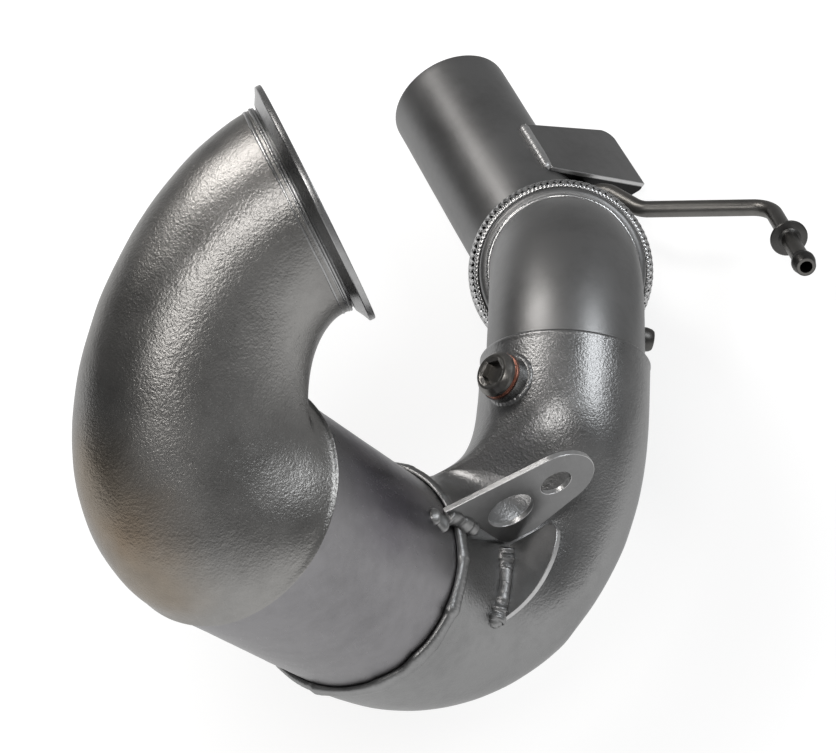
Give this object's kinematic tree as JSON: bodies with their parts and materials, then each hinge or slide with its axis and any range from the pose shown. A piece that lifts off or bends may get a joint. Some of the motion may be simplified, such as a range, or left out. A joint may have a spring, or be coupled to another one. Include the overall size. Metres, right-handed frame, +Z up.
{
  "type": "catalytic downpipe",
  "caption": "Exhaust downpipe with a grooved inlet flange, cast elbow, catalyst can, cast exit cone, hanger bracket, braided flex coupling and tailpipe stub with a pressure tube.",
  "frame": {"origin": "centre of the inlet flange's mating face", "axes": "+X out of the inlet flange, +Y out of the tailpipe end, +Z up"},
  "size_m": [0.4385, 0.4871, 0.4613],
  "materials": {
    "steel_bright": "turned steel",
    "cast_steel": "cast skin",
    "can_steel": "rolled sheet",
    "tube_steel": "satin tube",
    "plate_steel": "pressed sheet",
    "weld_steel": "weld bead",
    "braid_steel": "woven wire",
    "dark_steel": "black zinc",
    "sensor_steel": "dark tube",
    "copper": "copper ring",
    "mat_fibre": "fibre mat",
    "ceramic": "coated ceramic"
  },
  "bodies": {
    "inlet_side": {"inlet_flange": "steel_bright", "inlet_weld": "weld_steel", "inlet_elbow": "cast_steel", "seam_weld": "weld_steel", "catalyst_can": "can_steel", "catalyst_mat": "mat_fibre", "catalyst_brick": "ceramic", "can_weld": "weld_steel", "exit_cone": "cast_steel", "sensor_boss": "steel_bright", "boss_weld": "weld_steel", "crush_washer": "copper", "boss_plug": "dark_steel", "upper_elbow": "tube_steel", "rear_boss": "steel_bright", "hanger_plate": "plate_steel", "hanger_weld": "weld_steel", "hanger_gusset": "plate_steel", "gusset_weld": "weld_steel", "front_collar_weld": "weld_steel", "front_collar": "tube_steel", "front_crimp": "tube_steel"},
    "flex_sway": {"flex_bellows": "can_steel", "flex_braid": "braid_steel"},
    "flex_nod": {"flex_liner": "can_steel"},
    "outlet_side": {"rear_crimp": "tube_steel", "rear_collar": "tube_steel", "rear_collar_weld": "weld_steel", "outlet_pipe": "tube_steel", "tube_bracket": "plate_steel", "bracket_weld": "weld_steel", "pressure_boss": "steel_bright", "pressure_tube": "sensor_steel", "stop_collar": "sensor_steel", "hose_barb": "sensor_steel"}
  },
  "joints": [
    {"name": "sway", "type": "hinge", "parent": "inlet_side", "child": "flex_sway", "pos_m": [0.1205, 0.12634, -0.29887], "axis": [0, -0.7927, -0.6096], "range_deg": [-5, 5], "stiffness_Nm_per_rad": 60, "deforming": ["flex_braid", "flex_bellows"]},
    {"name": "nod", "type": "hinge", "parent": "flex_sway", "child": "flex_nod", "pos_m": [0.1205, 0.12634, -0.29887], "axis": [0.9986, -0.0317, 0.0412], "range_deg": [-5, 5], "stiffness_Nm_per_rad": 60},
    {"name": "stretch", "type": "slide", "parent": "flex_nod", "child": "outlet_side", "axis": [0.052, 0.6087, -0.7917], "range_m": [-0.004, 0.004], "stiffness_N_per_m": 40000}
  ]
}
